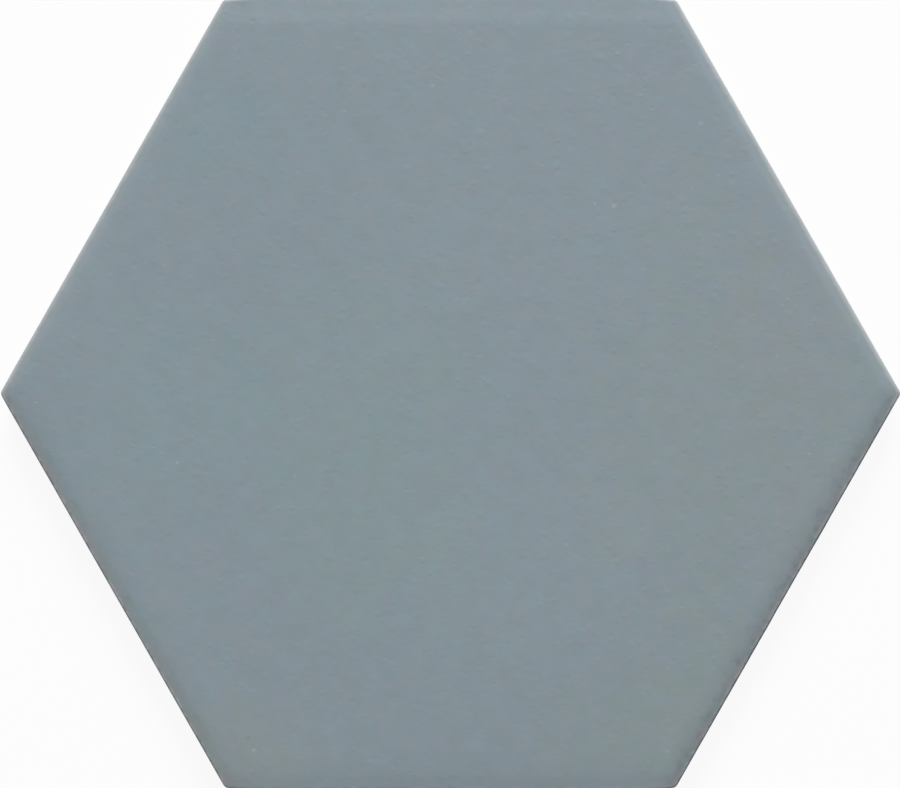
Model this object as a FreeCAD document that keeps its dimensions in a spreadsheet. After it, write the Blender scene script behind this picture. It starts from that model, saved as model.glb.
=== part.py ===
import FreeCAD, Part
import os
import Sketcher

# Hexagon floor tile
#
# One slab of clay, pressed, glazed and fired. The glazed face is flat in the middle and falls softly to the
# edge (a cushion edge). The walls lean in towards the back, and shallow honeycomb cells in the back give the
# adhesive a key.
#
# The origin is the middle of the back, which lies on z = 0. +Z goes up through the glazed face, +X towards
# one of the points and +Y towards one of the flat sides. Lengths are in millimetres, angles in degrees.

# Driving dimensions
SIZES = {
    "across_corners": 200.0,    # point to point, measured to the sharp corners
    "across_flats": 175.0,      # flat side to flat side
    "thickness": 8.5,           # back to the flat of the glazed face
    "corner_radius": 1.5,       # rounding of the points, seen from above
    "cushion_width": 6.5,       # band along the edge where the face falls away
    "cushion_drop": 0.55,       # how far it has fallen where it reaches the wall
    "arris_radius": 0.8,        # rounding between the face and the wall
    "taper_height": 4.5,        # the wall leans in below this height
    "taper_inset": 0.6,         # how far it has leaned in at the back
    "back_edge_radius": 0.4,    # rounding between the leaning wall and the back
    "cell_pitch": 17.0,         # middle to middle of two cells side by side
    "rib_width": 2.8,           # rib left between them, at its foot on the back
    "cell_depth": 0.6,
    "cell_draft": 20.0,         # lean of a cell's walls from upright
    "back_margin": 4.5,         # least plain border between the outer cells and the edge of the back
}

# How far the cutting profiles run on past the slab, so that they clear it everywhere
OVERRUN = 2.5

# How a sketch numbers the start, end and centre of a line or arc, and its own two axes. Its origin is
# where the X axis starts.
START, END, CENTRE = range(1, 4)
X_AXIS, Y_AXIS = range(-1, -3, -1)
ORIGIN = (X_AXIS, START)


def make_sheet(doc):
    """The sheet that every feature below takes its sizes from."""
    sheet = doc.addObject("Spreadsheet::Sheet", "Sizes")
    for row, (name, value) in enumerate(SIZES.items(), start=1):
        sheet.set(f"A{row}", name)
        sheet.set(f"B{row}", str(value))
        sheet.setAlias(f"B{row}", name)
    doc.recompute()
    return sheet


def new_sketch(body, name, role, height=None):
    """A sketch on one of the body's own planes, or at a height above it."""
    sketch = body.newObject("Sketcher::SketchObject", name)
    plane = next(item for item in body.Origin.OriginFeatures if item.Role == role)
    sketch.AttachmentSupport = [(plane, "")]
    sketch.MapMode = "FlatFace"
    if height:
        sketch.setExpression("AttachmentOffset.Base.z", height)
    return sketch


def constrain(sketch, kind, *where):
    return sketch.addConstraint(Sketcher.Constraint(kind, *where))


def dimension(sketch, name, expression, kind, *where):
    """A named dimension that follows the sheet."""
    index = constrain(sketch, kind, *where, float(sketch.evalExpression(expression)))
    sketch.renameConstraint(index, name)
    sketch.setExpression("Constraints." + name, expression)


def at(across, along):
    return FreeCAD.Vector(across, along, 0)


def joined_lines(sketch, points):
    """Straight lines from point to point, joined end to end."""
    first = sketch.GeometryCount
    for start, end in zip(points, points[1:]):
        sketch.addGeometry(Part.LineSegment(at(*start), at(*end)), False)
    lines = list(range(first, sketch.GeometryCount))
    for line, following in zip(lines, lines[1:]):
        constrain(sketch, "Coincident", line, END, following, START)
    return lines


def closed_outline(sketch, points):
    """Joined lines that end where they begin."""
    lines = joined_lines(sketch, points + points[:1])
    constrain(sketch, "Coincident", lines[-1], END, lines[0], START)
    return lines


def hexagon_sketch(body, name, height=None, inset=None):
    """The tile's own hexagon, or one drawn inside it at an even distance from all six sides.

    It starts in the middle of the upper side, where the profiles that are swept round it are drawn. An inner
    one is drawn a little smaller from the start, so that its sides settle inside the tile's and not outside.
    """
    sketch = new_sketch(body, name, "XY_Plane", height)
    point, side, flat = SIZES["across_corners"] / 2, SIZES["across_corners"] / 4, SIZES["across_flats"] / 2
    share = 1 - float(sketch.evalExpression(inset)) / flat if inset else 1
    corners = [(0, flat), (side, flat), (point, 0), (side, -flat), (-side, -flat), (-point, 0), (-side, flat)]
    upper, upper_right, lower_right, lower, lower_left, upper_left, _ = closed_outline(
        sketch, [(share * across, share * along) for across, along in corners])
    constrain(sketch, "Horizontal", upper)
    constrain(sketch, "PointOnObject", upper, START, Y_AXIS)
    constrain(sketch, "PointOnObject", upper_right, END, X_AXIS)
    constrain(sketch, "Symmetric", upper_right, END, lower_left, END, Y_AXIS)
    constrain(sketch, "Symmetric", upper_right, START, upper_left, END, Y_AXIS)
    constrain(sketch, "Symmetric", lower, START, lower, END, Y_AXIS)
    constrain(sketch, "Symmetric", upper_right, START, lower_right, END, X_AXIS)
    outer = upper_right
    if inset:
        outer = sketch.addGeometry(Part.LineSegment(at(side, flat), at(point, 0)), True)
        constrain(sketch, "PointOnObject", outer, END, X_AXIS)
    dimension(sketch, "half_corners", "Sizes.across_corners / 2", "DistanceX", *ORIGIN, outer, END)
    dimension(sketch, "half_side", "Sizes.across_corners / 4", "DistanceX", *ORIGIN, outer, START)
    dimension(sketch, "half_flats", "Sizes.across_flats / 2", "DistanceY", *ORIGIN, outer, START)
    if inset:
        constrain(sketch, "Parallel", upper_right, outer)
        dimension(sketch, "slant_inset", inset, "Distance", upper_right, START, outer)
        dimension(sketch, "flat_inset", inset, "DistanceY", upper_right, START, outer, START)
    return sketch


def sweep_cut(body, name, profile, line):
    """Takes a profile away all round the tile, turning about each corner of the line that it follows."""
    cut = body.newObject("PartDesign::SubtractivePipe", name)
    cut.Profile = profile
    cut.Spine = (line, [f"Edge{place + 1}" for place in range(len(line.Shape.Edges))])
    cut.Transition = "Round corner"
    body.Document.recompute()
    return cut


def round_edges(body, name, base, edges, radius):
    fillet = body.newObject("PartDesign::Fillet", name)
    fillet.Base = (base, edges)
    fillet.setExpression("Radius", radius)
    body.Document.recompute()
    return fillet


def edges_where(shape, test):
    return [f"Edge{place + 1}" for place, edge in enumerate(shape.Edges) if test(edge)]


def stands_upright(face, edge):
    """Whether a face is vertical where it meets one of its edges."""
    return abs(face.normalAt(*face.Surface.parameter(edge.valueAt(edge.FirstParameter))).z) < 1e-6


def add_slab(body):
    """The pressed blank, with its six upright corners rounded."""
    slab = body.newObject("PartDesign::Pad", "slab")
    slab.Profile = hexagon_sketch(body, "outline")
    slab.setExpression("Length", "Sizes.thickness")
    body.Document.recompute()
    corners = edges_where(slab.Shape, lambda edge: edge.BoundBox.ZLength > SIZES["thickness"] / 2)
    return round_edges(body, "corner_rounds", slab, corners, "Sizes.corner_radius")


def add_cushion(body):
    """The soft fall of the glazed face, an arc that leaves the flat without a step, then the arris."""
    line = hexagon_sketch(body, "cushion_line", "Sizes.thickness", "Sizes.cushion_width")
    profile = new_sketch(body, "cushion_profile", "YZ_Plane")
    wall, face, drop = SIZES["across_flats"] / 2, SIZES["thickness"], SIZES["cushion_drop"]
    inner, outer, above = wall - SIZES["cushion_width"], wall + OVERRUN, face + OVERRUN
    low = face - 2 * drop
    rise, lid, back = joined_lines(profile, [(outer, low), (outer, above), (inner, above), (inner, face)])
    fall = profile.addGeometry(Part.Arc(at(outer, low), at(wall, face - drop), at(inner, face)), False)
    constrain(profile, "Coincident", back, END, fall, END)
    constrain(profile, "Coincident", fall, START, rise, START)
    constrain(profile, "Vertical", rise)
    constrain(profile, "Horizontal", lid)
    constrain(profile, "Vertical", back)
    constrain(profile, "Vertical", fall, CENTRE, fall, END)
    flat_edge = "Sizes.across_flats / 2 - Sizes.cushion_width"
    fall_radius = "(Sizes.cushion_width ^ 2 + Sizes.cushion_drop ^ 2) / (2 * Sizes.cushion_drop)"
    dimension(profile, "flat_edge", flat_edge, "DistanceX", *ORIGIN, fall, END)
    dimension(profile, "face_height", "Sizes.thickness", "DistanceY", *ORIGIN, fall, END)
    dimension(profile, "fall_radius", fall_radius, "Radius", fall)
    dimension(profile, "reach", f"Sizes.cushion_width + {OVERRUN}", "DistanceX", fall, END, fall, START)
    dimension(profile, "above", f"{OVERRUN}", "DistanceY", back, END, back, START)
    body.Document.recompute()
    cushion = sweep_cut(body, "cushion", profile, line)

    def on_the_arris(edge):
        faces = cushion.Shape.ancestorsOfType(edge, Part.Face)
        walls = [face for face in faces if stands_upright(face, edge)]
        return len(walls) == 1 and edge.BoundBox.ZMin > SIZES["thickness"] / 2

    arris = edges_where(cushion.Shape, on_the_arris)
    return round_edges(body, "arris", cushion, arris, "Sizes.arris_radius")


def add_back_taper(body):
    """The lean of the walls below their upright band, and the rounding at its foot.

    It turns about the middles of the corner rounds, so that the corners stay round right down to the back.
    """
    line = hexagon_sketch(body, "taper_line", inset="Sizes.corner_radius")
    profile = new_sketch(body, "taper_profile", "YZ_Plane")
    wall, height, radius = SIZES["across_flats"] / 2, SIZES["taper_height"], SIZES["back_edge_radius"]
    foot = wall - SIZES["taper_inset"]
    outer, below = wall + OVERRUN, -OVERRUN
    lean, shoulder, outside, under, drop = joined_lines(profile, [
        (foot, radius), (wall, height), (outer, height), (outer, below), (foot - radius, below),
        (foot - radius, 0)])
    rounding = profile.addGeometry(
        Part.Arc(at(foot - radius, 0), at(foot - radius / 3, radius / 3), at(foot, radius)), False)
    sharp = profile.addGeometry(Part.LineSegment(at(foot, 0), at(wall, height)), True)
    constrain(profile, "Tangent", rounding, END, lean, START)
    constrain(profile, "Coincident", drop, END, rounding, START)
    constrain(profile, "Vertical", rounding, CENTRE, rounding, START)
    constrain(profile, "PointOnObject", rounding, START, X_AXIS)
    constrain(profile, "PointOnObject", sharp, START, X_AXIS)
    constrain(profile, "Coincident", sharp, END, lean, END)
    constrain(profile, "PointOnObject", lean, START, sharp)
    constrain(profile, "Horizontal", shoulder)
    constrain(profile, "Vertical", outside)
    constrain(profile, "Horizontal", under)
    constrain(profile, "Vertical", drop)
    dimension(profile, "wall_place", "Sizes.across_flats / 2", "DistanceX", *ORIGIN, sharp, END)
    dimension(profile, "taper_inset", "Sizes.taper_inset", "DistanceX", sharp, START, sharp, END)
    dimension(profile, "taper_height", "Sizes.taper_height", "DistanceY", sharp, START, sharp, END)
    dimension(profile, "foot_radius", "Sizes.back_edge_radius", "Radius", rounding)
    dimension(profile, "outside", f"{OVERRUN}", "DistanceX", shoulder, START, shoulder, END)
    dimension(profile, "below", f"{OVERRUN}", "DistanceY", drop, START, drop, END)
    body.Document.recompute()
    return sweep_cut(body, "back_taper", profile, line)


def cell_sketch(body, name, place, height=None, shrink="0"):
    """One cell of the honeycomb, a regular hexagon with its points along Y, centred on the X axis."""
    sketch = new_sketch(body, name, "XY_Plane", height)
    middle = float(sketch.evalExpression(place))
    apothem = f"((Sizes.cell_pitch - Sizes.rib_width) / 2 - {shrink})"
    half = float(sketch.evalExpression(apothem))
    radius = half * 2 / 3 ** 0.5
    corners = [(0, radius), (half, radius / 2), (half, -radius / 2), (0, -radius), (-half, -radius / 2),
               (-half, radius / 2)]
    sides = closed_outline(sketch, [(middle + across, along) for across, along in corners])
    ring = sketch.addGeometry(Part.Circle(at(middle, 0), FreeCAD.Vector(0, 0, 1), radius), True)
    for side in sides:
        constrain(sketch, "PointOnObject", side, START, ring)
    for side in sides[1:]:
        constrain(sketch, "Equal", sides[0], side)
    constrain(sketch, "Vertical", sides[1])
    constrain(sketch, "PointOnObject", ring, CENTRE, X_AXIS)
    dimension(sketch, "place", place, "DistanceX", *ORIGIN, ring, CENTRE)
    dimension(sketch, "across", f"2 * {apothem}", "Distance", sides[1], START, sides[4])
    return sketch


def add_cell(body, name, place):
    """A shallow cell in the back whose walls lean, so that the press tool lets go of it."""
    run = "Sizes.cell_depth * tan(Sizes.cell_draft)"
    mouth = cell_sketch(body, name + "_mouth", place)
    floor = cell_sketch(body, name + "_floor", place, "Sizes.cell_depth", run)
    body.Document.recompute()
    cell = body.newObject("PartDesign::SubtractiveLoft", name)
    cell.Profile = mouth
    cell.Sections = [floor]
    cell.Ruled = True
    body.Document.recompute()
    return cell


def add_honeycomb(body):
    """Cells in rings round the middle one: a lozenge of them, turned three times about the middle."""
    add_cell(body, "middle_cell", "0")
    first = add_cell(body, "first_cell", "Sizes.cell_pitch")
    guide = new_sketch(body, "cell_directions", "XY_Plane")
    slant = guide.addGeometry(Part.LineSegment(at(0, 0), at(-1, 3 ** 0.5)), True)
    constrain(guide, "Coincident", slant, START, *ORIGIN)
    dimension(guide, "slant_length", "Sizes.cell_pitch", "Distance", slant)
    dimension(guide, "slant_angle", "120", "Angle", X_AXIS, START, slant, START)
    body.Document.recompute()

    row_pitch = "(Sizes.cell_pitch * sin(60))"
    cell_radius = "((Sizes.cell_pitch - Sizes.rib_width) / sqrt(3))"
    half_back = "(Sizes.across_flats / 2 - Sizes.taper_inset - Sizes.back_margin)"
    rings = f"floor(({half_back} - {cell_radius}) / {row_pitch})"

    honeycomb = body.newObject("PartDesign::MultiTransform", "honeycomb")
    honeycomb.Originals = [first]
    honeycomb.Refine = False    # no face of one cell meets another, so there is none to merge
    body.Document.recompute()
    row = body.newObject("PartDesign::LinearPattern", "cell_row")
    row.Direction = (guide, ["H_Axis"])
    row.setExpression("Length", f"({rings} - 1) * Sizes.cell_pitch")
    row.setExpression("Occurrences", rings)
    lozenge = body.newObject("PartDesign::LinearPattern", "cell_lozenge")
    lozenge.Direction = (guide, ["Axis0"])
    lozenge.setExpression("Length", f"{rings} * Sizes.cell_pitch")
    lozenge.setExpression("Occurrences", f"{rings} + 1")
    turns = body.newObject("PartDesign::PolarPattern", "cell_turns")
    turns.Axis = (guide, ["N_Axis"])
    turns.Angle = 360
    turns.Occurrences = 3
    honeycomb.Transformations = [row, lozenge, turns]
    body.Tip = honeycomb
    body.Document.recompute()
    return honeycomb


def check(doc, parts, cuts):
    """Stops before anything is written if a feature failed, cut nothing or left a broken solid."""
    for item in doc.Objects:
        if "Invalid" in item.State or "Error" in item.State:
            raise RuntimeError(f"{item.Name} failed: {item.State}")
    for before, after in zip(cuts, cuts[1:]):
        if after.Shape.Volume >= before.Shape.Volume - 1.0:
            raise RuntimeError(f"{after.Name} takes nothing away")
    for part in parts:
        if part.Shape.isNull() or not part.Shape.isValid() or len(part.Shape.Solids) != 1:
            raise RuntimeError(f"{part.Label} is not one sound solid")


doc = FreeCAD.newDocument("hexagon_floor_tile")
make_sheet(doc)
tile = doc.addObject("PartDesign::Body", "hexagon_tile")
tile.Label = "hexagon_tile"
tile.Placement = FreeCAD.Placement()

blank = add_slab(tile)
cushioned = add_cushion(tile)
tapered = add_back_taper(tile)
keyed = add_honeycomb(tile)
doc.recompute()

check(doc, [tile], [blank, cushioned, tapered, keyed])
os.makedirs("parts", exist_ok=True)
tile.Shape.exportStep(f"parts/{tile.Label}.step")

box = tile.Shape.optimalBoundingBox(False)
print(f"{tile.Label}: {box.XLength:.2f} x {box.YLength:.2f} x {box.ZLength:.2f} mm")
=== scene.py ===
"""Hexagon floor tile, glazed face up, on a pale floor.

One piece: the pressed slab with its glaze. The face, the fall to the edge, the arris, the walls and the back
are one closed mesh, and it stands for the frame's plain solid. Lengths are in metres and angles in radians.
The glaze and the clay are worked out in millimetres, from the tile's own coordinates.
"""
import math
from types import SimpleNamespace

import bmesh
import bpy
from mathutils import Matrix, Vector, noise


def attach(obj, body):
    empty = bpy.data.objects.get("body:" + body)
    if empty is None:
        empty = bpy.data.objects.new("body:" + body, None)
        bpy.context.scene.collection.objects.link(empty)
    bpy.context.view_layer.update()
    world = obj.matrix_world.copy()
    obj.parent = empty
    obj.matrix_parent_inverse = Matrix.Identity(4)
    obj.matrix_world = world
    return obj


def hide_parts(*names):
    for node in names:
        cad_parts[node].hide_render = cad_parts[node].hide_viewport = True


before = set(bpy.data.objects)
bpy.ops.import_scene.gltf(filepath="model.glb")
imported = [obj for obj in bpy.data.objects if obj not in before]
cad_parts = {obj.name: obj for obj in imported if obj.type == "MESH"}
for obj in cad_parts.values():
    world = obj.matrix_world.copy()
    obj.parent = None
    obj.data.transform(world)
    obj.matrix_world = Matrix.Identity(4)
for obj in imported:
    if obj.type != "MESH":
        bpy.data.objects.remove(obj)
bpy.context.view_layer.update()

MM = 0.001
SIXTY_DEGREES = math.radians(60)

# The slab, as the frame has it
ACROSS_CORNERS = 200 * MM
ACROSS_FLATS = 175 * MM
THICKNESS = 8.5 * MM
CORNER_RADIUS = 1.5 * MM
CUSHION_WIDTH = 6.5 * MM
TAPER_HEIGHT = 4.5 * MM
TAPER_INSET = 0.6 * MM
BACK_EDGE_RADIUS = 0.4 * MM

# The rounding from the face to the wall
ARRIS_WIDTH = 0.68 * MM
FLAT_ARRIS_WIDTH = 0.26 * MM    # on the upper and lower sides
SHOULDER = (42 * MM, 53 * MM)   # along x, where the flat sides' edge becomes the slanted sides'

# The honeycomb key in the back
CELL_PITCH = 17 * MM
RIB_WIDTH = 2.8 * MM
CELL_DEPTH = 0.6 * MM
CELL_DRAFT = math.radians(20)
CELL_RINGS = 5
CELL_CORNER_ROUND = 0.9 * MM
CELL_LIP_ROUND = 0.22 * MM
CELL_LIP_ANGLE = math.radians(40)   # an edge that turns further than this is rounded
LEVEL_WITHIN = 0.0001 * MM
WELD_WITHIN = 0.01 * MM

# The glaze on the walls: how far below the face it has run, and the lip that it ends in
GLAZE_RUN = 2.3 * MM
GLAZE_RUN_SWING = 0.55 * MM
GLAZE_LIP = 0.09 * MM
SOAKED_DEPTH = 0.45 * MM    # the clay is darker this far below the glaze

# Rings of points on the glazed wall, from above: height over the glaze's end, and inset
GLAZED_RINGS = ((0.75 * MM, 0.0), (0.3 * MM, 0.0), (0.1 * MM, 0.015 * MM), (0.02 * MM, 0.05 * MM),
                (0.0, GLAZE_LIP))

# Unevenness, as waves. Each has a height, or the share that it changes, then its length and its layer.
FACE_SWELLS = ((0.009 * MM, 42 * MM, 1), (0.004 * MM, 17 * MM, 2))
EDGE_RIPPLE = (0.012 * MM, 5 * MM, 3)
ARRIS_WAVER = (0.16, 6 * MM, 9)
GLAZE_SWINGS = ((0.6, 14 * MM, 5), (0.4, 4.5 * MM, 6))
DRIPS = (1.6, 9 * MM, 8)
DRIP_START = 0.35               # how high that wave is where a drip begins
UPPER_CLAY = (0.02 * MM, 3 * MM, 11)
LOWER_CLAY = (0.02 * MM, 3 * MM, 12)
ROOM_FOR_SWELLS = 0.015 * MM    # between the face and the slab's full height
LAYER_STEP = 7.3                # how far apart the layers lie in the noise

# How finely the face is divided
FACE_ROWS = 112
EDGE_ROWS_CLOSER = 0.28     # how much closer the rows lie near the edge
CORNERS_CLOSER = 0.75       # how much closer the points of a row lie near its corners
ARRIS_STEPS = 8
BACK_EDGE_STEPS = 5
SLOPE_STEP = 0.2 * MM       # how far in the face's slope beside the arris is measured

SIDE_NAMES = ("upper_right", "upper", "upper_left", "lower_left", "lower", "lower_right")

# How far each corner is from true, counterclockwise from the right-hand point, for no tile is quite regular
CORNER_PLAY = ((-0.02 * MM, 0.07 * MM), (0.07 * MM, 0), (-0.28 * MM, 0), (0.06 * MM, 0.11 * MM),
               (0.05 * MM, 0), (-0.02 * MM, 0))

# How the glazed face falls away to each side, as one or two rolls. A roll has its full slope out to the edge,
# and it eases to level between its two distances inside the edge.
CUSHION_ROLLS = {
    "upper": ((0.053, 3.8 * MM, 6.8 * MM), (-0.018, 1.8 * MM, 3.2 * MM)),
    "lower": ((0.052, 1.8 * MM, 4.0 * MM), (0.030, 4.0 * MM, 8.0 * MM)),
    "upper_right": ((0.18, 2.1 * MM, 3.5 * MM), (0.06, 2.0 * MM, 6.5 * MM)),
    "upper_left": ((0.16, 1.1 * MM, 3.2 * MM), (0.06, 2.0 * MM, 6.0 * MM)),
    "lower_left": ((0.08, 2.5 * MM, 3.5 * MM), (0.075, 2.5 * MM, 8.0 * MM)),
    "lower_right": ((0.15, 1.5 * MM, 3.0 * MM), (0.135, 2.2 * MM, 6.5 * MM)),
}

# The piece's two materials, in the order of its slots
GLAZE, CLAY = 0, 1


# The tile's outline

def hexagon_corners():
    """The sharp corners, counterclockwise from the right-hand point."""
    point, shoulder, flat = ACROSS_CORNERS / 2, ACROSS_CORNERS / 4, ACROSS_FLATS / 2
    return [Vector(corner) for corner in (
        (point, 0), (shoulder, flat), (-shoulder, flat), (-point, 0), (-shoulder, -flat), (shoulder, -flat))]


class Side:
    """One straight side of the outline, from one corner to the next."""

    def __init__(self, name, start, end):
        self.name, self.start, self.end = name, start, end
        self.run = end - start
        self.outward = Vector((self.run.y, -self.run.x)).normalized()
        self.reach = self.outward.dot(start)

    def inset(self, place):
        """How far inside this side a place is."""
        return self.reach - self.outward.dot(place)


def sides_between(corners):
    ends = corners[1:] + corners[:1]
    return [Side(name, start, end) for name, start, end in zip(SIDE_NAMES, corners, ends)]


REGULAR_SIDES = sides_between(hexagon_corners())
SIDES = sides_between([corner + Vector(play) for corner, play in zip(hexagon_corners(), CORNER_PLAY)])


def turning_point(before, after):
    """The middle of the rounding between two sides, and the two directions that it turns between."""
    normals = Matrix((before.outward, after.outward))
    reaches = Vector((before.reach - CORNER_RADIUS, after.reach - CORNER_RADIUS))
    return normals.inverted() @ reaches, before.outward, after.outward


TURNS = [turning_point(before, after) for before, after in zip(SIDES[-1:] + SIDES[:-1], SIDES)]


def cross(first, second):
    return first.x * second.y - first.y * second.x


def rounded(place, inset):
    """Moves a place that lies in a sharp corner onto the corner's rounding."""
    radius = CORNER_RADIUS - inset
    if radius <= 0:
        return place
    for middle, first, last in TURNS:
        off = place - middle
        if off.dot(first + last) > 0 and cross(first, off) > 0 and cross(off, last) > 0:
            return middle + off.normalized() * radius
    return place


def on_outline(outline_point, inset):
    """A place on the line that runs inside the outline at an even distance."""
    return rounded(outline_point * (1 - inset / (ACROSS_FLATS / 2)), inset)


# Its relief

def within_one(share):
    """Keeps a share between 0 and 1."""
    return min(1.0, max(0.0, share))


def wave(place, length, layer):
    """Smooth noise from -1 to 1. Each layer is a pattern of its own."""
    return noise.noise(Vector((place.x / length, place.y / length, LAYER_STEP * layer)))


def waves(place, *given):
    """Adds up waves, each given as height, length and layer."""
    return sum(height * wave(place, length, layer) for height, length, layer in given)


def roll_fall(inset, slope, near, far):
    """How far a roll has fallen at a distance inside the edge: its slope, added up from where it is level."""
    share = (inset - near) / (far - near)
    if share >= 1:
        return 0.0
    eased = share ** 3 - share ** 4 / 2 if share > 0 else 0.0
    return slope * (far - near) * (0.5 - share + eased)


def cushion_fall(place):
    """How far the face has fallen at a place. Where two sides meet, their falls add up to a soft hip."""
    falls = (sum(roll_fall(side.inset(place), *roll) for roll in CUSHION_ROLLS[side.name]) for side in SIDES)
    return math.sqrt(sum(fall ** 2 for fall in falls))


def arris_width(point):
    """How wide the rounding from the face to the wall is, at a point of the outline."""
    share = within_one((abs(point.x) - SHOULDER[0]) / (SHOULDER[1] - SHOULDER[0]))
    width = FLAT_ARRIS_WIDTH + (ARRIS_WIDTH - FLAT_ARRIS_WIDTH) * share * share * (3 - 2 * share)
    return width * (1 + waves(point, ARRIS_WAVER))


def face_height(place):
    """The glazed face: flat in the middle, falling to the edge, and never quite even."""
    inset = min(side.inset(place) for side in SIDES)
    ripple = within_one(1 - inset / CUSHION_WIDTH) * waves(place, EDGE_RIPPLE)
    return THICKNESS - ROOM_FOR_SWELLS - cushion_fall(place) + waves(place, *FACE_SWELLS) + ripple


def glaze_line(point):
    """Height on the wall at which the glaze ends."""
    height, length, layer = DRIPS
    drip = height * max(0.0, wave(point, length, layer) - DRIP_START)
    return THICKNESS - GLAZE_RUN - GLAZE_RUN_SWING * (waves(point, *GLAZE_SWINGS) + drip)


# The mesh

def new_verts(made):
    return [item for item in made["geom"] if isinstance(item, bmesh.types.BMVert)]


def new_faces(made):
    return [item for item in made["geom"] if isinstance(item, bmesh.types.BMFace)]


def open_edges(items):
    return [item for item in items if isinstance(item, bmesh.types.BMEdge) and item.is_boundary]


def divided_face(bm, outline):
    """The glazed face out to the arris: a fan of six triangles, evenly divided, drawn closer at the edge."""
    proportions = Matrix.Diagonal((ACROSS_CORNERS / 2, ACROSS_FLATS / 2 / math.sin(SIXTY_DEGREES), 1, 1))
    point_to_the_left = Matrix.Rotation(math.radians(90), 4, "Z")
    bmesh.ops.create_circle(bm, cap_ends=True, cap_tris=True, segments=6, radius=1,
                            matrix=proportions @ point_to_the_left)
    bmesh.ops.subdivide_edges(bm, edges=bm.edges[:], cuts=FACE_ROWS - 1, use_grid_fill=True)
    in_the_middle = 0.5 / FACE_ROWS
    for vert in bm.verts:
        place = vert.co.xy
        side, regular = min(zip(SIDES, REGULAR_SIDES), key=lambda pair: pair[1].inset(place) / pair[1].reach)
        share = 1 - regular.inset(place) / regular.reach
        if share < in_the_middle:
            vert.co.z = face_height(place)
            continue
        along = (place / share - regular.start).dot(regular.run) / regular.run.length_squared
        along -= CORNERS_CLOSER * share ** 4 * math.sin(2 * math.pi * along) / (2 * math.pi)
        vert[outline] = (side.start + side.run * along).to_3d()
        share += EDGE_ROWS_CLOSER * (share - share ** 3)
        inset = ACROSS_FLATS / 2 * (1 - share) + arris_width(vert[outline]) * share
        place = on_outline(vert[outline].xy, inset)
        vert.co = (place.x, place.y, face_height(place))


def grow_ring(bm, rim, outline, shape):
    """Extrudes the open rim by one ring, and returns the new rim and faces.

    shape gives the new ring's inset and height at a point of the outline.
    """
    made = bmesh.ops.extrude_edge_only(bm, edges=rim)
    for vert in new_verts(made):
        point = vert[outline].xy
        inset, height = shape(point)
        place = on_outline(point, inset)
        vert.co = (place.x, place.y, height)
    return open_edges(made["geom"]), new_faces(made)


def arris_ring(step):
    """One ring of the rounding from the face to the wall. It leaves the face at the face's own slope."""
    def shape(point):
        width = arris_width(point)
        height = face_height(on_outline(point, width))
        slope = (face_height(on_outline(point, width + SLOPE_STEP)) - height) / SLOPE_STEP
        first = math.atan(slope)
        angle = first + (math.pi / 2 - first) * step / ARRIS_STEPS
        radius = width / (1 - math.sin(first))
        return radius * (1 - math.sin(angle)), height - radius * (math.cos(first) - math.cos(angle))
    return shape


def clay_ring(height, inset, unevenness):
    """One ring of the bare wall. It is rough, and always within the glaze's lip."""
    depth, length, layer = unevenness
    return lambda point: (GLAZE_LIP + inset + depth * (1 + wave(point, length, layer)), height)


def mark(rim, layer, value):
    for vert in {vert for edge in rim for vert in edge.verts}:
        vert[layer] = value


def add_walls(bm, outline, soaked):
    """Adds the arris, the glazed wall with its lip, the bare wall, its lean and the rounding at its foot.

    The clay just below the glaze is marked as soaked with it.
    """
    rim = open_edges(bm.edges)
    for step in range(1, ARRIS_STEPS + 1):
        rim, _ = grow_ring(bm, rim, outline, arris_ring(step))
    for above, inset in GLAZED_RINGS:
        rim, _ = grow_ring(bm, rim, outline, lambda point: (inset, glaze_line(point) + above))
    for face in bm.faces:
        face.material_index = GLAZE

    mark(rim, soaked, 1)
    rim, clay = grow_ring(bm, rim, outline, lambda point: (GLAZE_LIP, glaze_line(point) - SOAKED_DEPTH))
    mark(rim, soaked, 0)
    for shape in (clay_ring(TAPER_HEIGHT, 0.0, UPPER_CLAY),
                  clay_ring(TAPER_HEIGHT / 2, TAPER_INSET / 2, LOWER_CLAY)):
        rim, faces = grow_ring(bm, rim, outline, shape)
        clay += faces

    lean = math.atan2(TAPER_INSET, TAPER_HEIGHT)
    middle = TAPER_INSET + BACK_EDGE_RADIUS * (1 - math.sin(lean)) / math.cos(lean)
    for step in range(BACK_EDGE_STEPS + 1):
        angle = lean + (math.pi / 2 - lean) * step / BACK_EDGE_STEPS
        inset = middle - BACK_EDGE_RADIUS * math.cos(angle)
        height = BACK_EDGE_RADIUS * (1 - math.sin(angle))
        rim, faces = grow_ring(bm, rim, outline, lambda point: (GLAZE_LIP + inset, height))
        clay += faces
    for face in clay:
        face.material_index = CLAY


def cell_places():
    """Middles of the cells: rings round the middle one, six-sided like the tile."""
    steps = range(-CELL_RINGS, CELL_RINGS + 1)
    for row in steps:
        for place in steps:
            if abs(place + row) <= CELL_RINGS:
                yield Vector((CELL_PITCH * (place + row / 2), CELL_PITCH * row * math.sin(SIXTY_DEGREES), 0))


def is_level(edge):
    return abs(edge.verts[0].co.z - edge.verts[1].co.z) < LEVEL_WITHIN


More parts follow.
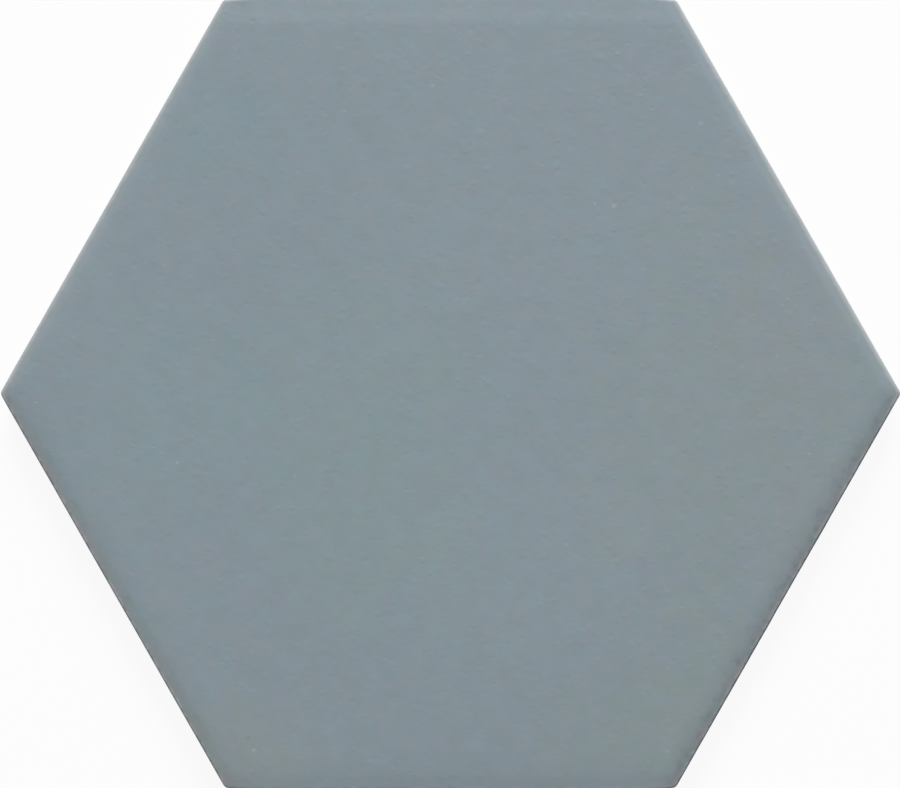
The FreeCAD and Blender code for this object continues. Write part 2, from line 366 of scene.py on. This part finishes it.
def one_cell(bm):
    """The middle cell with its share of the ribs round it."""
    bmesh.ops.create_circle(bm, cap_ends=True, segments=6, radius=CELL_PITCH / math.sqrt(3))
    bmesh.ops.reverse_faces(bm, faces=bm.faces[:])
    floor = bm.faces[:]
    bmesh.ops.inset_individual(bm, faces=floor, thickness=RIB_WIDTH / 2, depth=0, use_even_offset=True)
    bmesh.ops.inset_individual(bm, faces=floor, thickness=CELL_DEPTH * math.tan(CELL_DRAFT),
                               depth=-CELL_DEPTH, use_even_offset=True)
    leaning = [edge for edge in bm.edges if not is_level(edge)]
    bmesh.ops.bevel(bm, geom=leaning, offset=CELL_CORNER_ROUND, offset_type="OFFSET", segments=2,
                    profile=0.5, affect="EDGES", material=-1, clamp_overlap=True)
    turned = [edge for edge in bm.edges if is_level(edge) and len(edge.link_faces) == 2
              and edge.calc_face_angle() > CELL_LIP_ANGLE]
    bmesh.ops.bevel(bm, geom=turned, offset=CELL_LIP_ROUND, offset_type="OFFSET", segments=2,
                    profile=0.5, affect="EDGES", material=-1, clamp_overlap=True)
    return bm.verts[:] + bm.edges[:] + bm.faces[:]


def honeycomb():
    """The back's cells with the ribs between them, as one open sheet."""
    bm = bmesh.new()
    cell = one_cell(bm)
    for place in cell_places():
        if place.length > CELL_PITCH / 2:
            copy = bmesh.ops.duplicate(bm, geom=cell)
            bmesh.ops.translate(bm, vec=place, verts=new_verts(copy))
    bmesh.ops.remove_doubles(bm, verts=bm.verts[:], dist=WELD_WITHIN)
    for face in bm.faces:
        face.material_index = CLAY
    return bm


def add_back(bm):
    """Closes the slab with the honeycomb and the plain border round it."""
    sheet = bpy.data.meshes.new("honeycomb")
    cells = honeycomb()
    cells.to_mesh(sheet)
    cells.free()
    bm.from_mesh(sheet)
    bpy.data.meshes.remove(sheet)
    border = bmesh.ops.triangle_fill(bm, use_beauty=True, use_dissolve=False, edges=open_edges(bm.edges),
                                     normal=(0, 0, -1))
    for face in new_faces(border):
        face.material_index = CLAY


def tile_piece():
    bm = bmesh.new()
    outline = bm.verts.layers.float_vector.new("outline")
    soaked = bm.verts.layers.float.new("soaked")
    divided_face(bm, outline)
    add_walls(bm, outline, soaked)
    bm.verts.layers.float_vector.remove(outline)
    add_back(bm)
    bmesh.ops.recalc_face_normals(bm, faces=bm.faces[:])
    for face in bm.faces:
        face.smooth = True
    mesh = bpy.data.meshes.new("hexagon_floor_tile")
    bm.to_mesh(mesh)
    bm.free()
    piece = bpy.data.objects.new("hexagon_floor_tile", mesh)
    bpy.context.scene.collection.objects.link(piece)
    piece.modifiers.new("level_faces_look_level", "WEIGHTED_NORMAL")
    return piece


# Building materials

ASKEW = (0.61, 0.43, 0.79)  # how far the noise is turned about each axis
PATCH_END = 1.2             # a patch has faded out at this many times its reach
SMALLEST_DOT = 0.4          # in times the radius given, and the largest is 1 more


def add_node(tree, kind, inputs=(), **settings):
    """Adds a node. Its inputs are plain values or other nodes' outputs, by socket name or number."""
    node = tree.nodes.new(kind)
    for name, value in settings.items():
        setattr(node, name, value)
    for name, value in dict(inputs).items():
        if isinstance(value, bpy.types.NodeSocket):
            tree.links.new(value, node.inputs[name])
        else:
            node.inputs[name].default_value = value
    return node


def maths(tree, operation, *values):
    return add_node(tree, "ShaderNodeMath", enumerate(values), operation=operation).outputs[0]


def product(tree, first, *others):
    """Multiplies numbers."""
    for value in others:
        first = maths(tree, "MULTIPLY", first, value)
    return first


def vector_maths(tree, operation, *values):
    return add_node(tree, "ShaderNodeVectorMath", enumerate(values), operation=operation).outputs


def between(tree, share, first, second):
    """Mixes two numbers."""
    return add_node(tree, "ShaderNodeMix", {0: share, 2: first, 3: second}).outputs[0]


def blend(tree, share, first, second, how="MIX"):
    """Mixes two colours."""
    node = add_node(tree, "ShaderNodeMix", {0: share, 6: first, 7: second}, data_type="RGBA", blend_type=how)
    return node.outputs[2]


def cast_on(tree, colour, cast):
    """A colour with each of its three parts multiplied."""
    return blend(tree, 1.0, colour, (*cast, 1), "MULTIPLY")


def ramp(tree, value, low, high, at_low=0.0, at_high=1.0):
    """Goes smoothly from one number to another as the value goes from low to high."""
    return add_node(tree, "ShaderNodeMapRange", {0: value, 1: low, 2: high, 3: at_low, 4: at_high},
                    interpolation_type="SMOOTHSTEP").outputs[0]


def drawn_out(tree, place, scale):
    """Coordinates that draw a pattern out along each axis whose number is below 1."""
    return add_node(tree, "ShaderNodeMapping", {"Vector": place, "Scale": scale}).outputs[0]


def grain(tree, place, size, detail=2.0, roughness=0.5, offset=(0, 0, 0)):
    """Noise from 0 to 1 whose lumps are about so many millimetres apart.

    It is turned askew to the face, which would else cut it along its own grid and show the grid's directions.
    """
    moved = add_node(tree, "ShaderNodeMapping", {"Vector": place, "Location": offset,
                                                 "Rotation": ASKEW}).outputs[0]
    return add_node(tree, "ShaderNodeTexNoise", {"Vector": moved, "Scale": 1 / size, "Detail": detail,
                                                 "Roughness": roughness, "Lacunarity": 2.17}).outputs["Fac"]


def grain_round_zero(tree, *given):
    """Grain from -0.5 to 0.5."""
    return maths(tree, "SUBTRACT", grain(tree, *given), 0.5)


def patch(tree, place, middle, reach, ragged=0.0, core=0.5):
    """1 in the core of an oval patch and 0 outside it, in millimetres. Noise can pull its edge about."""
    off = vector_maths(tree, "SUBTRACT", place, (*middle, 0))[0]
    share = vector_maths(tree, "MULTIPLY", off, (1 / reach[0], 1 / reach[1], 0))[0]
    away = vector_maths(tree, "LENGTH", share)["Value"]
    return ramp(tree, maths(tree, "ADD", away, ragged), core, PATCH_END, 1.0, 0.0)


def new_material(name):
    """A material with its node tree and shader."""
    material = bpy.data.materials.new(name)
    material.use_nodes = True
    return material, material.node_tree, material.node_tree.nodes["Principled BSDF"]


def finish_shader(tree, shader, colour, roughness, relief):
    """Joins what was worked out to the shader. The relief is in millimetres."""
    bump = add_node(tree, "ShaderNodeBump", {"Strength": 1.0, "Distance": MM, "Height": relief})
    tree.links.new(colour, shader.inputs["Base Color"])
    tree.links.new(roughness, shader.inputs["Roughness"])
    tree.links.new(bump.outputs["Normal"], shader.inputs["Normal"])


# Groups that both materials use

def node_group(name, inputs, outputs):
    """An empty shader group with named sockets, and its two ends."""
    group = bpy.data.node_groups.new(name, "ShaderNodeTree")
    for label, kind in inputs.items():
        group.interface.new_socket(label, in_out="INPUT", socket_type="NodeSocket" + kind)
    for label, kind in outputs.items():
        group.interface.new_socket(label, in_out="OUTPUT", socket_type="NodeSocket" + kind)
    return group, group.nodes.new("NodeGroupInput").outputs, group.nodes.new("NodeGroupOutput").inputs


def use_group(tree, group, inputs=()):
    return add_node(tree, "ShaderNodeGroup", inputs, node_tree=group).outputs


def place_on_tile_group():
    """A point's place on the tile, how far inside the nearest side it is, and its height, in millimetres."""
    group, _, out = node_group("place_on_tile", {}, {"Place": "Vector", "Inset": "Float", "Height": "Float"})
    metres = add_node(group, "ShaderNodeTexCoord").outputs["Object"]
    place = vector_maths(group, "MULTIPLY", metres, (1 / MM,) * 3)[0]
    inset = ACROSS_CORNERS / MM
    for side in SIDES:
        reach = vector_maths(group, "DOT_PRODUCT", place, side.outward.to_3d())["Value"]
        inset = maths(group, "MINIMUM", inset, maths(group, "SUBTRACT", side.reach / MM, reach))
    group.links.new(place, out["Place"])
    group.links.new(inset, out["Inset"])
    group.links.new(add_node(group, "ShaderNodeSeparateXYZ", {0: place}).outputs["Z"], out["Height"])
    return group


def dots_group():
    """Round dots scattered through the body, each of its own size, so that they are round on every face.

    Core is how much of a dot's radius is full, from 0, soft, to 1, sharp.
    """
    group, given, out = node_group("dots", {"Place": "Vector", "Spacing": "Float", "Radius": "Float",
                                            "Share": "Float", "Core": "Float"}, {"Mask": "Float"})
    scale = maths(group, "DIVIDE", 1.0, given["Spacing"])
    cells = add_node(group, "ShaderNodeTexVoronoi", {"Vector": given["Place"], "Scale": scale})
    away = maths(group, "MULTIPLY", cells.outputs["Distance"], given["Spacing"])
    chance = add_node(group, "ShaderNodeSeparateColor", {0: cells.outputs["Color"]})
    size = maths(group, "MULTIPLY", given["Radius"], maths(group, "ADD", chance.outputs[1], SMALLEST_DOT))
    there = maths(group, "LESS_THAN", chance.outputs[0], given["Share"])
    round_dot = ramp(group, maths(group, "DIVIDE", away, size), given["Core"], 1.0, 1.0, 0.0)
    group.links.new(maths(group, "MULTIPLY", round_dot, there), out["Mask"])
    return group


def scattered(tree, dots, place, spacing, radius, share, core=0.0):
    """The mask of a scatter of dots."""
    return use_group(tree, dots, {"Place": place, "Spacing": spacing, "Radius": radius, "Share": share,
                                  "Core": core})["Mask"]


# The glaze

GLAZE_BODY = (0.2290, 0.2835, 0.3155, 1)
PALER_GLAZE = (0.266, 0.293, 0.300, 1)      # towards the slanted sides
THIN_GLAZE = (0.372, 0.402, 0.420, 1)       # on the arris
# Painted highlight and painted shade for the line right at the edge: a pale glint on the upper slanted sides,
# a dark shade line on the lower ones, which face away from the lamp
PAINTED_HIGHLIGHT_RIM = (0.52, 0.54, 0.55, 1)
PAINTED_SHADE_RIM = (0.055, 0.062, 0.067, 1)
GREENISH_BAND = (0.219, 0.273, 0.284, 1)
REDDISH_BAND = (0.247, 0.260, 0.292, 1)
LOWER_LEFT_CAST = (0.976, 0.980, 0.930)     # what the band is multiplied by on that side
DARK_STROKES = (0.138, 0.164, 0.182, 1)
BROWN_STAIN = (0.175, 0.150, 0.142, 1)
PALE_SPECK_COLOUR = (0.44, 0.52, 0.566, 1)
DARK_SPECK_COLOUR = (0.15, 0.15, 0.16, 1)

# Heights of the glaze's relief, in millimetres
GLAZE_SWELLS = 0.070
PIMPLES = 0.023
PITS = 0.021

# Where the glaze has a cast of its own: middle and reach in millimetres, and what the colour is multiplied by
GLAZE_CASTS = (
    ((-19, -11), (29, 43), (0.976, 1.022, 0.988)),      # green, left of the middle and below it
    ((2, -44), (24, 17), (0.993, 1.007, 1.000)),
    ((-60, -2), (21, 27), (0.967, 1.010, 1.006)),       # blue-green, on the left
    ((-48, 57), (16, 13), (0.967, 1.010, 1.006)),
    ((-87, -17), (9, 9), (0.980, 1.004, 1.000)),
    ((58, -8), (30, 40), (1.014, 1.003, 0.962)),        # warm, on the right
    ((90, 1), (12, 20), (1.002, 0.998, 0.972)),
    ((78, -30), (11, 26), (1.012, 0.999, 0.984)),
    ((53, 42), (14, 20), (1.006, 0.998, 0.984)),
    ((76, 20), (17, 25), (1.022, 0.992, 0.982)),        # pink, on the upper right
    ((47, 71), (11, 8), (1.012, 0.994, 0.994)),
    ((-48, -79), (19, 11), (1.026, 1.004, 0.955)),      # warm, at the lower shoulders
    ((46, -77), (26, 16), (1.010, 1.003, 0.960)),
    ((61, -64), (18, 22), (1.016, 1.007, 0.966)),
    ((-91, -4), (13, 17), (0.974, 0.976, 0.980)),       # a shade darker
    ((-46, 48), (38, 44), (0.979, 0.979, 0.984)),
    ((0, 64), (80, 24), (0.990, 0.990, 0.991)),
    ((18, -84), (46, 9), (0.985, 0.985, 0.986)),
    ((18, -36), (36, 26), (1.025, 1.022, 1.018)),       # a shade lighter
)

# Its larger specks: place and size in millimetres
PALE_SPECKS = ((-43.5, -78.9, 0.75), (55.4, 59.9, 0.64), (-60.4, -15.2, 0.62), (36.2, 41.5, 0.66),
               (32.0, 42.2, 0.50), (-4.0, 68.2, 0.56), (48.0, -79.1, 0.54), (79.4, -13.3, 0.50),
               (-91.8, -1.9, 0.44), (74.6, 21.1, 0.45))
SPECK_HEIGHT = 0.75     # as a share of a speck's width
DARK_SPECK = (-44.8, -76.3, 0.58)
STAIN_PLACE = (-98.0, -1.4)
STAIN_REACH = (1.1, 1.6)

# What each slanted side has for itself, in the order upper right, upper left, lower left, lower right.
# Widths and places are in millimetres inside the edge, and strengths are shares.
PALER_STRENGTH = (0.45, 0.62, 0.8, 0.8)
BAND_WIDTH = (4.6, 4.6, 3.6, 5.0)
LOWER_LEFT_ONLY = (0, 0, 1, 0)
STROKES_STRENGTH = (0.0, 0.0, 0.12, 0.45)
THIN_UP_TO = (0.35, 0.3, 0.38, 0.5)
THICK_FROM = (1.4, 1.28, 0.95, 1.1)
THIN_STRENGTH = (0.92, 0.64, 0.90, 0.70)
# How wide and how strong the painted highlight and painted shade right at the edge are
PAINTED_RIM_WIDTH = (0.30, 0.30, 0.25, 0.50)
PAINTED_RIM_STRENGTH = (0.40, 0.15, 0.66, 1.00)
BLEND_ACROSS_FLATS = 3      # millimetres to each side of the middle, in which these numbers blend
BLEND_ACROSS_POINTS = 2.5


def by_side(tree, spot, upper_right, upper_left, lower_left, lower_right):
    """A number that each slanted side has for itself. It blends at the points and along the flat sides."""
    right = ramp(tree, spot.across["X"], -BLEND_ACROSS_FLATS, BLEND_ACROSS_FLATS)
    upper = ramp(tree, spot.across["Y"], -BLEND_ACROSS_POINTS, BLEND_ACROSS_POINTS)
    above = between(tree, right, upper_left, upper_right)
    below = between(tree, right, lower_left, lower_right)
    return between(tree, upper, below, above)


def glaze_spot(tree, place_on_tile):
    """What the glaze is laid out by: where a point is, and how much it belongs to the slanted sides."""
    on_tile = use_group(tree, place_on_tile)
    place, inset = on_tile["Place"], on_tile["Inset"]
    across = add_node(tree, "ShaderNodeSeparateXYZ", {0: place}).outputs
    slanted = ramp(tree, maths(tree, "ABSOLUTE", across["X"]), SHOULDER[0] / MM, SHOULDER[1] / MM)
    wander = product(tree, grain_round_zero(tree, place, 2.2, 2.0, 0.5), 0.9)
    return SimpleNamespace(
        place=place, speck_place=drawn_out(tree, place, (SPECK_HEIGHT, 1, 1)), across=across,
        inset=inset, wandering_inset=maths(tree, "ADD", inset, wander), height=on_tile["Height"],
        slanted=slanted, lower_slants=product(tree, slanted, ramp(tree, across["Y"], -5, 0, 1.0, 0.0)))


def glaze_body(tree, spot):
    """Wide casts, then patches of two tints with fairly sharp edges, then light and dark."""
    colour = GLAZE_BODY
    ragged = product(tree, grain_round_zero(tree, spot.place, 7, 4.0, 0.65), 2.2)
    for middle, reach, cast in GLAZE_CASTS:
        here = patch(tree, spot.place, middle, reach, ragged)
        colour = blend(tree, here, colour, cast_on(tree, colour, cast))
    reddish = ramp(tree, grain(tree, spot.place, 4.4, 3.0, 0.65, (31, 5, 2)), 0.42, 0.58, -0.5, 0.5)
    reddish = product(tree, reddish, ramp(tree, spot.inset, 0.5, 2.6, 2.0, 1.0))
    bluish = ramp(tree, grain(tree, spot.place, 4.4, 3.0, 0.65, (7, 43, 11)), 0.42, 0.58, -0.5, 0.5)
    light = grain_round_zero(tree, spot.place, 5.5, 4.0, 0.66, (3, 17, 29))
    light = maths(tree, "MULTIPLY_ADD", light, 0.145, 1.0)
    parts = [maths(tree, "MULTIPLY_ADD", tint, strength, light)
             for tint, strength in ((reddish, 0.034), (reddish, -0.014), (bluish, 0.042))]
    mottle = add_node(tree, "ShaderNodeCombineColor", enumerate(parts)).outputs[0]
    return blend(tree, 1.0, colour, mottle, "MULTIPLY")


def paler_at_slants(tree, spot, colour):
    """Towards the slanted sides the glaze pales."""
    paler = product(tree, ramp(tree, spot.wandering_inset, 0.4, 2.6, 1.0, 0.0), spot.slanted,
                    by_side(tree, spot, *PALER_STRENGTH))
    return blend(tree, paler, colour, PALER_GLAZE)


def with_torn_band(tree, spot, colour):
    """The lower slanted sides have a darker, torn band, reddish in some places and greenish in others.

    It has dark strokes in it, and a brown stain where it starts at the left point.
    """
    tears = product(tree, grain_round_zero(tree, spot.place, 2.6, 3.0, 0.6, (9, 2, 5)), 6.0)
    torn = maths(tree, "ADD", spot.inset, tears)
    width = by_side(tree, spot, *BAND_WIDTH)
    band = product(tree, ramp(tree, torn, 0.4, width, 0.72, 0.0), spot.lower_slants)
    redder_outside = ramp(tree, spot.inset, 0.7, 2.4, 0.05, -0.07)
    turning = maths(tree, "ADD", grain(tree, spot.place, 4.2, 2.0, 0.5, (2, 6, 13)), redder_outside)
    band_colour = blend(tree, ramp(tree, turning, 0.45, 0.55), GREENISH_BAND, REDDISH_BAND)
    band_colour = blend(tree, by_side(tree, spot, *LOWER_LEFT_ONLY), band_colour,
                        cast_on(tree, band_colour, LOWER_LEFT_CAST))
    colour = blend(tree, band, colour, band_colour)

    strokes = product(tree, ramp(tree, grain(tree, spot.place, 2.1, 3.0, 0.55, (4, 8, 1)), 0.42, 0.70),
                      ramp(tree, spot.inset, 0.6, 1.5), ramp(tree, torn, 0.8, 4.8, 1.0, 0.0),
                      by_side(tree, spot, *STROKES_STRENGTH), spot.slanted)
    colour = blend(tree, strokes, colour, DARK_STROKES)
    stain = product(tree, patch(tree, spot.place, STAIN_PLACE, STAIN_REACH, core=0.1), 0.42)
    return blend(tree, stain, colour, BROWN_STAIN)


def thin_glaze_and_painted_rim(tree, spot, colour):
    """The glaze is thinnest and palest on the arris, where the lower sides show it only in stretches.

    The line right at the edge has a painted highlight on the upper slanted sides and painted shade on the
    lower ones.
    """
    on_flats = maths(tree, "SUBTRACT", 1.0, spot.slanted)
    further_out = product(tree, on_flats, ramp(tree, spot.across["Y"], -5, 5, 0.5, 1.3))
    thin = ramp(tree, maths(tree, "ADD", spot.wandering_inset, further_out),
                by_side(tree, spot, *THIN_UP_TO), by_side(tree, spot, *THICK_FROM), 1.0, 0.0)
    gaps = ramp(tree, grain(tree, spot.place, 1.6, 2.0, 0.5, (12, 1, 3)), 0.42, 0.56, 0.05, 1.0)
    thin = product(tree, thin, between(tree, spot.lower_slants, 1.0, gaps),
                   by_side(tree, spot, *THIN_STRENGTH))
    colour = blend(tree, thin, colour, THIN_GLAZE)

    # Painted highlight along the upper slanted sides' edge and painted shade along the lower ones', at the
    # top of the wall
    width = by_side(tree, spot, *PAINTED_RIM_WIDTH)
    at_the_top = ramp(tree, spot.height, 7.0, 7.4)
    painted_rim_light = product(tree, at_the_top, ramp(tree, spot.inset, 0.10, width, 1.0, 0.0),
                        spot.slanted, by_side(tree, spot, *PAINTED_RIM_STRENGTH))
    return blend(tree, painted_rim_light, colour, blend(tree, spot.lower_slants, PAINTED_HIGHLIGHT_RIM, PAINTED_SHADE_RIM))


def speckled(tree, spot, dots, colour):
    """Pale specks, most of them too faint to see, fine ones that crowd the right, and one dark speck."""
    specks = product(tree, scattered(tree, dots, spot.speck_place, spacing=4.5, radius=0.42, share=0.4), 0.6)
    crowded = product(tree, scattered(tree, dots, spot.speck_place, spacing=2.2, radius=0.26, share=0.6),
                      ramp(tree, spot.across["X"], 32, 60), ramp(tree, spot.across["Y"], -40, 20, 0.3, 1.0))
    specks = maths(tree, "MAXIMUM", specks, crowded)
    for *middle, size in PALE_SPECKS:
        speck = patch(tree, spot.place, middle, (size, SPECK_HEIGHT * size), core=0.0)
        specks = maths(tree, "MAXIMUM", specks, speck)
    colour = blend(tree, product(tree, specks, 0.3), colour, PALE_SPECK_COLOUR)
    *middle, size = DARK_SPECK
    dark = product(tree, patch(tree, spot.place, middle, (size, size), core=0.0), 0.35)
    return blend(tree, dark, colour, DARK_SPECK_COLOUR)


def glaze_relief(tree, spot, dots):
    """Low swells with pimples and pits, which stand out more towards the right."""
    pimples = scattered(tree, dots, spot.speck_place, spacing=2.4, radius=0.85, share=0.6)
    elsewhere = vector_maths(tree, "ADD", spot.speck_place, (17, 5, 9))[0]
    pits = scattered(tree, dots, elsewhere, spacing=2.4, radius=0.8, share=0.6)
    spots = maths(tree, "SUBTRACT", product(tree, pimples, PIMPLES), product(tree, pits, PITS))
    rougher = ramp(tree, spot.across["X"], 10, 75, 1.0, 1.15)
    swells = product(tree, grain(tree, spot.place, 3.3, 3.0, 0.48, (0, 0, 0.74)), GLAZE_SWELLS)
    return maths(tree, "MULTIPLY_ADD", spots, rougher, swells)


def matt_glaze(place_on_tile, dots):
    """Satin-matt blue-grey glaze, faintly mottled. It thins to a paler, more neutral tone on the arris."""
    material, tree, shader = new_material("matt_blue_grey_glaze")
    spot = glaze_spot(tree, place_on_tile)
    colour = glaze_body(tree, spot)
    colour = paler_at_slants(tree, spot, colour)
    colour = with_torn_band(tree, spot, colour)
    colour = thin_glaze_and_painted_rim(tree, spot, colour)
    colour = speckled(tree, spot, dots, colour)
    roughness = ramp(tree, grain(tree, spot.place, 12, 2.0), 0.3, 0.7, 0.40, 0.46)
    finish_shader(tree, shader, colour, roughness, glaze_relief(tree, spot, dots))
    return material


# The bare clay

DARKER_CLAY = (0.40, 0.352, 0.300, 1)
LIGHTER_CLAY = (0.455, 0.408, 0.352, 1)
DRAG_MARKS = (0.30, 0.262, 0.222, 1)
SOAKED_CLAY = (0.27, 0.215, 0.165, 1)
IRON_SPECKS = (0.22, 0.17, 0.13, 1)
POWDERY_WASH = (0.64, 0.63, 0.60, 1)

# Heights of the clay's relief, in millimetres
CLAY_GRIT = 0.05
CLAY_SWELLS = 0.06
DRAG_DEPTH = 0.06
CLAY_PITS = -0.05


def fired_clay(place_on_tile, dots):
    """Bare pressed clay, warm and gritty, with drag marks up its walls and a wash on the back's ribs."""
    material, tree, shader = new_material("bare_fired_clay")
    on_tile = use_group(tree, place_on_tile)
    place, height = on_tile["Place"], on_tile["Height"]

    colour = blend(tree, ramp(tree, grain(tree, place, 30, 3.0), 0.3, 0.7), DARKER_CLAY, LIGHTER_CLAY)
    gritty = ramp(tree, grain(tree, place, 0.6, 2.0, 0.7), 0.25, 0.75, 0.92, 1.07)
    colour = blend(tree, 1.0, colour, gritty, "MULTIPLY")
    drag = grain(tree, drawn_out(tree, place, (1, 1, 0.12)), 0.9, 3.0, 0.65, (5, 9, 2))
    on_walls = ramp(tree, height, 0.3, 0.8)
    colour = blend(tree, product(tree, ramp(tree, drag, 0.50, 0.70), on_walls, 0.22), colour, DRAG_MARKS)
    soaked = add_node(tree, "ShaderNodeAttribute", attribute_name="soaked").outputs["Fac"]
    colour = blend(tree, product(tree, soaked, 0.55), colour, SOAKED_CLAY)
    iron = scattered(tree, dots, place, spacing=1.9, radius=0.24, share=0.35, core=0.5)
    colour = blend(tree, product(tree, iron, 0.5), colour, IRON_SPECKS)

    worn = ramp(tree, grain(tree, drawn_out(tree, place, (1, 0.22, 1)), 9, 4.0, 0.65), 0.40, 0.62)
    on_ribs = ramp(tree, height, 0.02, 0.12, 1.0, 0.0)
    wash = product(tree, worn, on_ribs, 0.75)
    colour = blend(tree, wash, colour, POWDERY_WASH)

    relief = maths(tree, "ADD", product(tree, grain(tree, place, 0.5, 3.0, 0.6), CLAY_GRIT),
                   product(tree, grain(tree, place, 4, 2.0), CLAY_SWELLS))
    relief = maths(tree, "MULTIPLY_ADD", product(tree, drag, on_walls), DRAG_DEPTH, relief)
    pits = scattered(tree, dots, place, spacing=1.4, radius=0.2, share=0.4, core=0.3)
    relief = maths(tree, "MULTIPLY_ADD", pits, CLAY_PITS, relief)
    finish_shader(tree, shader, colour, ramp(tree, wash, 0.0, 0.75, 0.82, 0.95), relief)
    return material


# Floor, light, camera

FLOOR_HALF_SIZE = 2.0
FLOOR_DROP = 0.02 * MM      # between the tile's back and the floor, so that they don't touch
FLOOR_PAINT = (0.85, 0.85, 0.85, 1)
FLOOR_OWN_LIGHT = 0.92      # share of the floor that the camera sees as plain white
UNDER_THE_TILE = 1.2 * MM   # the floor is clear to rays that meet it within this distance
WHITE = (1, 1, 1, 1)

LENS = 100
SENSOR_WIDTH = 36
PICTURE_PIXELS = 900
WIDEST_AT = 7.3 * MM        # height of the wall's widest place
PIXELS_PER_MM = 4.508       # at that height
CAMERA_OFF_MIDDLE = (-0.09 * MM, -0.05 * MM)    # in the photo the tile is a hair to the right, and up


def white_floor():
    """A pale floor. The camera sees most of it as plain white, and it keeps the tile's shadow.

    It is clear from below, and to light on its way to the tile's back, so that the back can be looked at too.
    """
    bm = bmesh.new()
    bmesh.ops.create_grid(bm, x_segments=1, y_segments=1, size=FLOOR_HALF_SIZE,
                          matrix=Matrix.Translation((0, 0, -FLOOR_DROP)))
    mesh = bpy.data.meshes.new("floor")
    bm.to_mesh(mesh)
    bm.free()
    floor = bpy.data.objects.new("floor", mesh)
    bpy.context.scene.collection.objects.link(floor)

    material, tree, _ = new_material("pale_floor")
    tree.nodes.clear()
    paint = add_node(tree, "ShaderNodeBsdfDiffuse", {"Color": FLOOR_PAINT}).outputs[0]
    white = add_node(tree, "ShaderNodeEmission", {"Color": WHITE, "Strength": 1.0}).outputs[0]
    clear = add_node(tree, "ShaderNodeBsdfTransparent").outputs[0]
    path = add_node(tree, "ShaderNodeLightPath").outputs
    share = product(tree, path["Is Camera Ray"], FLOOR_OWN_LIGHT)
    seen = add_node(tree, "ShaderNodeMixShader", {0: share, 1: paint, 2: white}).outputs[0]
    below = add_node(tree, "ShaderNodeNewGeometry").outputs["Backfacing"]
    under = maths(tree, "LESS_THAN", path["Ray Length"], UNDER_THE_TILE)
    see_through = maths(tree, "MAXIMUM", below, under)
    both = add_node(tree, "ShaderNodeMixShader", {0: see_through, 1: seen, 2: clear}).outputs[0]
    add_node(tree, "ShaderNodeOutputMaterial", {"Surface": both})
    mesh.materials.append(material)


def studio_world(from_above, from_below, to_one_side):
    """Soft light from all round, which the camera and reflections see as white.

    Only the tile's back gets the light from below, which is stronger on one side, so that its relief shows.
    """
    world = bpy.data.worlds.new("studio")
    world.use_nodes = True
    tree = world.node_tree
    tree.nodes.clear()
    direction = add_node(tree, "ShaderNodeTexCoord").outputs["Generated"]
    towards = vector_maths(tree, "DOT_PRODUCT", direction, to_one_side)["Value"]
    below = maths(tree, "ADD", towards, from_below)
    height = add_node(tree, "ShaderNodeSeparateXYZ", {0: direction}).outputs["Z"]
    strength = between(tree, maths(tree, "LESS_THAN", height, 0.0), from_above, below)
    light = add_node(tree, "ShaderNodeBackground", {"Color": WHITE, "Strength": strength}).outputs[0]
    white = add_node(tree, "ShaderNodeBackground", {"Color": WHITE, "Strength": 1.0}).outputs[0]
    path = add_node(tree, "ShaderNodeLightPath").outputs
    reflected = maths(tree, "MAXIMUM", path["Is Glossy Ray"], path["Is Transmission Ray"])
    seen = maths(tree, "MAXIMUM", path["Is Camera Ray"], reflected)
    both = add_node(tree, "ShaderNodeMixShader", {0: seen, 1: light, 2: white}).outputs[0]
    add_node(tree, "ShaderNodeOutputWorld", {"Surface": both})
    bpy.context.scene.world = world


def soft_lamp(name, azimuth, elevation, distance, width, watts):
    """A square lamp aimed at the middle of the tile. Azimuth is from the top of the picture, clockwise."""
    data = bpy.data.lights.new(name, "AREA")
    data.shape = "SQUARE"
    data.size = width
    data.energy = watts
    lamp = bpy.data.objects.new(name, data)
    level = math.cos(elevation) * distance
    lamp.location = (level * math.sin(azimuth), level * math.cos(azimuth), math.sin(elevation) * distance)
    lamp.rotation_euler = lamp.location.to_track_quat("Z", "Y").to_euler()
    bpy.context.scene.collection.objects.link(lamp)


def camera_above():
    """Looks straight down. The widest place of the tile's wall is as wide as the picture."""
    data = bpy.data.cameras.new("camera")
    data.lens = LENS
    data.sensor_width = SENSOR_WIDTH
    picture_width = PICTURE_PIXELS / PIXELS_PER_MM * MM
    camera = bpy.data.objects.new("camera", data)
    camera.location = (*CAMERA_OFF_MIDDLE, WIDEST_AT + picture_width * LENS / SENSOR_WIDTH)
    bpy.context.scene.collection.objects.link(camera)
    bpy.context.scene.camera = camera


# Putting it up

tile = tile_piece()
place_on_tile, dots = place_on_tile_group(), dots_group()
tile.data.materials.append(matt_glaze(place_on_tile, dots))
tile.data.materials.append(fired_clay(place_on_tile, dots))
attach(tile, "root")
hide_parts("hexagon_tile")

white_floor()
studio_world(from_above=0.257, from_below=0.9, to_one_side=(0.2, 0.55, 0.0))
soft_lamp("key", azimuth=0.0, elevation=math.radians(30), distance=3.2, width=1.4, watts=139)
camera_above()
bpy.context.scene.view_settings.view_transform = "Standard"
